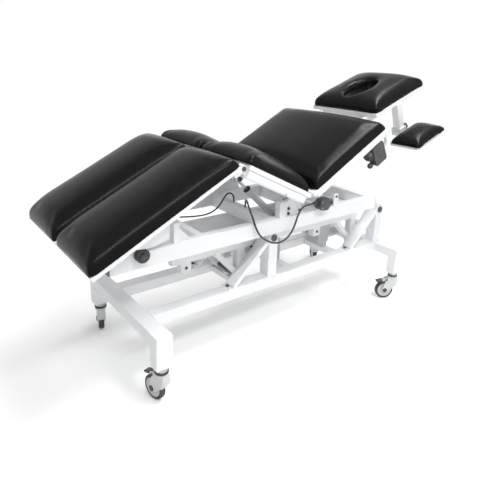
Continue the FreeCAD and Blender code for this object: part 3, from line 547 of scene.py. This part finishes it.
def castor_wheel(name, axle):
    """Grooved tyre on a dished disc."""
    bm = bmesh.new()
    tread = [(-11, 38), (-12, 41), (-11.6, 45.5), (-9, 48.6), (-5, 49.8), (-4.2, 49.2), (-3.4, 49.9), (3.4, 49.9),
             (4.2, 49.2), (5, 49.8), (9, 48.6), (11.6, 45.5), (12, 41), (11, 38), (-11, 38)]
    turned(bm, tread, axle, 72)
    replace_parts(finish_piece("tyre_" + name, bm, "wheel_" + name, rubber), "castor_wheel_" + name)
    bm = bmesh.new()
    disc = [(-10.6, 5.4), (-10.6, 13), (-9, 14.5), (-9, 29), (-10.4, 32), (-11.2, 38.1), (11.2, 38.1), (10.4, 32),
            (9, 29), (9, 14.5), (10.6, 13), (10.6, 5.4), (-10.6, 5.4)]
    turned(bm, disc, axle, 60)
    finish_piece("wheel_disc_" + name, bm, "wheel_" + name, disc_plastic)


def castor_pedal(name, at):
    """Brake pedal: a dark plate on two arms."""
    bm = bmesh.new()
    slab(bm, [(54, 103), (72, 98), (89, 95), (91, 103), (76, 107), (58, 113)], -12.9, 12.9, at)
    pedal = finish_piece("pedal_plate_" + name, bm, "pedal_" + name, pedal_plastic, 0.0015)
    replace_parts(pedal, "castor_pedal_" + name)
    bm = bmesh.new()
    for y0, y1 in ((-11.5, -6), (6, 11.5)):
        slab(bm, [(30, 106), (44, 103), (66, 99), (66, 106), (50, 116), (32, 119)], y0, y1, at)
    finish_piece("pedal_arm_" + name, bm, "pedal_" + name, castor_plastic, 0.001)


def castors():
    """Under the four legs, each turned the way that it points in the photograph."""
    foot, head, out = 32.5, 1454.5, 290
    for name, x, y, turn in (("near_foot", foot, -out, 102), ("far_foot", foot, out, 73),
                             ("near_head", head, -out, 147), ("far_head", head, out, 60)):
        at = (Matrix.Translation((x / 1000 + foot_beam_x, y / 1000, 0)) @ Matrix.Rotation(radians(turn), 4, "Z")
              @ millimetre)
        axle = at @ Matrix.Translation((trail, 0, wheel_radius)) @ to_far
        castor_shell(name, at)
        castor_trim(name, at, axle)
        castor_wheel(name, axle)
        castor_pedal(name, at)


castors()


# ---------- knobs, rollers and small fittings

def knob(name, node, grip, stem, flute, move):
    """Fluted grip with its stem, in place of the plain one of the same name."""
    bm = bmesh.new()
    turned(bm, grip, move, 96, 12, flute)
    turned(bm, [(-stem, 0), (-stem, 5), (0, 5), (0, 0)], move)
    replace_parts(finish_piece(name, bm, node, black_plastic), node)


def control_knobs():
    low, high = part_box("frame_control_knob")
    thick = 17
    face = Vector((high.x - thick / 1000, (low.y + high.y) / 2, (low.z + high.z) / 2))
    knob("frame_knob_grip", "frame_control_knob",
         [(0, 0), (0, 15), (1.5, 17), (15, 17), (thick, 15.4), (thick, 9), (15.5, 8), (15.5, 0)], 16, 1.6,
         Matrix.Translation(face) @ millimetre)
    towards_hip = Matrix.Rotation(pi, 4, "Z")
    knob("head_knob_grip", "head_control_knob",
         [(0, 0), (0, 20), (1.5, 22), (18, 22), (21, 20), (21, 12), (19, 11), (19, 0)], 15, 2.0,
         back_place @ Matrix.Translation((0.401, -0.318, -0.036)) @ towards_hip @ millimetre)


def rest_roller(side):
    """Rubber tyre with rounded shoulders, as wide and as thick as the CAD's roller."""
    low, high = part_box("rest_roller_" + side)
    radius, width = (high.z - low.z) * 500, (high.y - low.y) * 1000
    move = Matrix.Translation(((low.x + high.x) / 2, low.y, (low.z + high.z) / 2)) @ to_far @ millimetre
    bm = bmesh.new()
    turned(bm, [(0, 7), (0, radius - 3), (1, radius - 1), (3, radius), (width - 3, radius), (width - 1, radius - 1),
                (width, radius - 3), (width, 7), (0, 7)], move, 64)
    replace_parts(finish_piece("roller_tyre_" + side, bm, "rest_roller_" + side, rubber), "rest_roller_" + side)


def cylinder_collar():
    """Collar at the seat cylinder's upper end, whose face leans out of the CAD box's corner by its own radius."""
    low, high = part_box("seat_cylinder")
    radius, along = 0.016, Vector((-0.737054, 0, 0.675834))
    end = Vector((low.x + radius * 0.676, 0, high.z - radius * 0.737))
    bm = bmesh.new()
    turned(bm, [(-26, 16.1), (-26, 18), (-24, 18.6), (-3, 18.6), (0, 17), (0.4, 14), (0.4, 9), (-26, 9),
                (-26, 16.1)], Matrix.Translation(end) @ along.to_track_quat("X", "Z").to_matrix().to_4x4() @ millimetre)
    finish_piece("cylinder_collar", bm, "seat_cylinder", black_plastic)


def stop_upright():
    """Angle on the near beam beside the frame control, with its hexagon screw."""
    face, low, high = -247, 606, 664
    bm = bmesh.new()
    slab(bm, [(958, low), (984, low), (984, high), (958, high)], face, face + 6, table, 0)
    slab(bm, [(958, low), (962, low), (962, high), (958, high)], face + 6, -224, table, 0)
    finish_piece("stop_upright", bm, "upper_frame", white_coat, 0.0012)
    bm = bmesh.new()
    turned(bm, [(-1, 0), (-1, 6), (3, 6), (4, 5), (4, 0)], table @ Matrix.Translation((971, face, 650)) @ to_near, 6)
    finish_piece("stop_screw", bm, "upper_frame", black_bolt)


def frame_control():
    """Rounded case with a boss for its knob, cable gland, bracket and four screws."""
    front, back, axis = -288, -249.5, -267.5
    bm = bmesh.new()
    slab(bm, [(848, 612), (888, 612), (888, 668), (848, 668), (832, 663), (824, 652), (822, 640), (824, 628),
              (832, 617)], front, back, table)
    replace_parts(finish_piece("frame_case_shell", bm, "upper_frame", dark_plastic, 0.003), "frame_control_case")
    bm = bmesh.new()
    turned(bm, [(0, 0), (0, 14), (3, 13.5), (3.6, 12), (3.6, 0)], table @ Matrix.Translation((888, axis, 640)))
    turned(bm, [(0, 0), (0, 6), (3, 8), (12, 8), (13, 9.5), (25, 9.5), (28, 0)],
           table @ Matrix.Translation((797, axis, 650)))
    finish_piece("frame_case_gland", bm, "upper_frame", black_plastic)
    bm = bmesh.new()
    slab(bm, [(834, 580), (878, 580), (878, 640), (834, 640)], back, back + 2.4, table, 0)
    finish_piece("frame_case_bracket", bm, "upper_frame", white_coat, 0.0006)
    bm = bmesh.new()
    for x, z in ((836, 626), (836, 654), (880, 620), (880, 660)):
        turned(bm, [(-1, 0), (-1, 3), (0.9, 2.8), (1.2, 2.2), (1.2, 0)],
               table @ Matrix.Translation((x, front, z)) @ to_near, 24)
    finish_piece("frame_case_screws", bm, "upper_frame", bright_steel)


control_knobs()
for side in ("near", "far"):
    rest_roller(side)
cylinder_collar()
stop_upright()
frame_control()


# ---------- bent tube and cables

def bent_line(name, points, radius, look, steps):
    """Round bar through the given points, in metres."""
    curve = bpy.data.curves.new(name, "CURVE")
    curve.dimensions = "3D"
    curve.bevel_depth, curve.bevel_resolution, curve.resolution_u = radius, 4, steps
    curve.use_fill_caps = True
    line = curve.splines.new("NURBS")
    line.points.add(len(points) - 1)
    for p, point in zip(line.points, points):
        p.co = (*point, 1.0)
    line.order_u = 3
    line.use_endpoint_u = True
    curve.materials.append(look)
    return link(name, curve)


def head_control_stay():
    """Bent tube that carries the head control under the back's near edge."""
    route = [(0.500, -0.322, 0.012), (0.520, -0.323, -0.006), (0.524, -0.324, -0.030), (0.512, -0.324, -0.050),
             (0.488, -0.322, -0.056)]
    line = bent_line("head_control_stay", [back_place @ Vector(p) for p in route], 0.006, light_coat, 10)
    mesh = bpy.data.meshes.new_from_object(line.evaluated_get(bpy.context.evaluated_depsgraph_get()))
    tube = link("head_control_stay_tube", mesh)
    bpy.data.objects.remove(line)
    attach(tube, "back")


def cable(name, node, points, radius):
    """Cord along the CAD's own route, given in mm from the foot beam."""
    route = [(x / 1000 + foot_beam_x, y / 1000, z / 1000) for x, y, z in points]
    obj = bent_line(name, route, radius, cable_skin, 12)
    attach(obj, "upper_frame")
    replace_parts(obj, node)


head_control_stay()
cable("seat_cable_line", "seat_cable",
      [(606, -30, 602), (606, -30, 626), (593, -48, 644), (570, -86, 650), (544, -130, 643), (519, -176, 632),
       (496, -220, 624), (481, -252, 609), (482, -266, 588), (497, -267, 564), (518, -267, 545), (545, -267, 527),
       (574, -267, 514), (604, -267, 508), (634, -267, 511), (660, -267, 525), (681, -267, 547), (695, -267, 576),
       (706, -267, 607), (720, -267, 633), (742, -267.5, 647), (769, -267.5, 649), (796, -267.5, 650)],
      0.004)
cable("frame_cable_line", "frame_cable",
      [(606, 56, 602), (606, 57, 624), (597, 58, 643), (579, 59, 651), (561, 60, 643), (548, 61, 624),
       (529, 61, 598), (502, 62, 578), (470, 61, 568), (436, 61, 566), (400, 60, 569), (365, 59, 573),
       (330, 58, 579), (297, 58, 584), (267, 58, 584)],
      0.0035)


# ---------- floor, light and camera

def floor_material():
    """White floor that keeps the shadow near the table and fades into the white world further out."""
    shadow_reach, all_clear = 1.15, 2.2     # metres from the middle
    m = bpy.data.materials.new("studio_floor_white")
    m.use_nodes = True
    tree = m.node_tree
    shader = tree.nodes["Principled BSDF"]
    shader.inputs["Base Color"].default_value = (0.95, 0.95, 0.95, 1)
    shader.inputs["Roughness"].default_value = 0.9
    shader.inputs["Specular IOR Level"].default_value = 0.1
    shader.inputs["Emission Color"].default_value = (1, 1, 1, 1)
    path = tree.nodes.new("ShaderNodeLightPath")
    tree.links.new(map_range(tree, path.outputs["Is Camera Ray"], 0, 1, 0, 0.10), shader.inputs["Emission Strength"])
    far = tree.nodes.new("ShaderNodeVectorMath")
    far.operation = "LENGTH"
    tree.links.new(tree.nodes.new("ShaderNodeTexCoord").outputs["Object"], far.inputs[0])
    clear = tree.nodes.new("ShaderNodeBsdfTransparent")
    mix = tree.nodes.new("ShaderNodeMixShader")
    tree.links.new(map_range(tree, far.outputs["Value"], shadow_reach, all_clear, 0.0, 1.0), mix.inputs[0])
    tree.links.new(shader.outputs[0], mix.inputs[1])
    tree.links.new(clear.outputs[0], mix.inputs[2])
    tree.links.new(mix.outputs[0], tree.nodes["Material Output"].inputs["Surface"])
    return m


def floor():
    bm = bmesh.new()
    bmesh.ops.create_grid(bm, x_segments=1, y_segments=1, size=3.0)
    obj = mesh_piece("studio_floor", bm, Matrix.Translation((0.0, 0.0, -0.0005)))
    obj.data.materials.append(floor_material())


def area(name, at, to, size, watts):
    lamp = bpy.data.lights.new(name, "AREA")
    lamp.shape, lamp.size, lamp.size_y, lamp.energy = "RECTANGLE", size[0], size[1], watts
    obj = link(name, lamp)
    obj.location = at
    obj.rotation_euler = (Vector(to) - Vector(at)).to_track_quat("-Z", "Y").to_euler()


def studio():
    """White world, a little dimmer as a light than as a background, and four lamps."""
    world = bpy.data.worlds.new("studio")
    bpy.context.scene.world = world
    world.use_nodes = True
    tree = world.node_tree
    back = tree.nodes["Background"]
    path = tree.nodes.new("ShaderNodeLightPath")
    seen = math_node(tree, "MAXIMUM", path.outputs["Is Camera Ray"],
                     math_node(tree, "MAXIMUM", path.outputs["Is Glossy Ray"], path.outputs["Is Transmission Ray"]))
    back.inputs["Color"].default_value = (1, 1, 1, 1)
    tree.links.new(map_range(tree, seen, 0.0, 1.0, 0.55, 1.0), back.inputs["Strength"])
    area("overhead", (1.0, -0.7, 4.2), (0.1, 0.0, 0.5), (3.4, 0.6), 155)
    area("front", (1.6, -4.2, 2.2), (0.2, 0.0, 0.5), (2.6, 1.8), 12)
    area("near_edge", (-0.9, -3.0, 3.6), (-0.3, -0.3, 0.6), (3.0, 0.30), 84)
    area("head_side", (4.2, 0.6, 2.4), (0.4, 0.0, 0.6), (2.0, 1.6), 30)


def camera():
    """The photograph's camera, solved from the table's parallel edges."""
    photo_side, focal, centre_x, centre_y = 480, 469.396, 250.02, 199.887   # pixels
    yaw, pitch, roll = 0.885726, 0.295747, 0.039792
    eye = (-0.66279 + foot_beam_x, -1.61502, 1.25465)
    film = 36.0
    ahead = Vector((cos(pitch) * cos(yaw), cos(pitch) * sin(yaw), -sin(pitch)))
    right = Vector((sin(yaw), -cos(yaw), 0))
    up = right.cross(ahead)
    tilted_right = right * cos(roll) + up * sin(roll)
    tilted_up = -right * sin(roll) + up * cos(roll)
    cam = bpy.data.cameras.new("camera")
    obj = link("camera", cam)
    obj.matrix_world = (Matrix.Translation(eye)
                        @ Matrix((tilted_right, tilted_up, -ahead)).transposed().to_4x4())
    cam.sensor_width = film
    cam.lens = film * focal / photo_side
    cam.shift_x = 0.5 - centre_x / photo_side
    cam.shift_y = centre_y / photo_side - 0.5
    bpy.context.scene.camera = obj


floor()
studio()
camera()
bpy.context.scene.view_settings.view_transform = "Standard"
